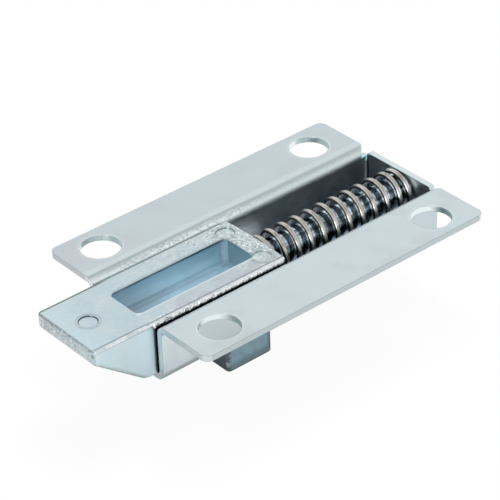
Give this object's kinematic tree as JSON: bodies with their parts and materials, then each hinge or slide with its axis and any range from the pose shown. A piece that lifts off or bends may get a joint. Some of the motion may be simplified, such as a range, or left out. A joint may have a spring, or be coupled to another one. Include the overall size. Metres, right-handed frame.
{
  "type": "spring bolt",
  "caption": "Spring bolt: a bevelled cast bolt slides in a folded steel channel with screw flanges, pushed out by a coil spring on a rod, with a release leg under it.",
  "frame": {"origin": "centre of the rectangle of four fixing holes, on the flanges' outer face", "axes": "+X to the rear, away from the bolt's nose; +Z out of the flanges' face, towards the panel that it is screwed to; the release leg points along -Z"},
  "size_m": [0.0844, 0.0472, 0.0247],
  "materials": {
    "plated_sheet": "zinc plated, satin",
    "cast_zinc": "fine cast grain, zinc plated",
    "rod_steel": "bright drawn",
    "spring_steel": "bare hard-drawn wire"
  },
  "bodies": {
    "case": {"housing": "plated_sheet", "spring": "spring_steel"},
    "slide": {"bolt": "cast_zinc", "guide_rod": "rod_steel"}
  },
  "joints": [
    {"name": "bolt_slide", "type": "slide", "parent": "case", "child": "slide", "axis": [1, 0, 0], "range_m": [0, 0.0136], "stiffness_N_per_m": 1860, "springref_m": -0.005, "deforming": ["spring"]}
  ]
}
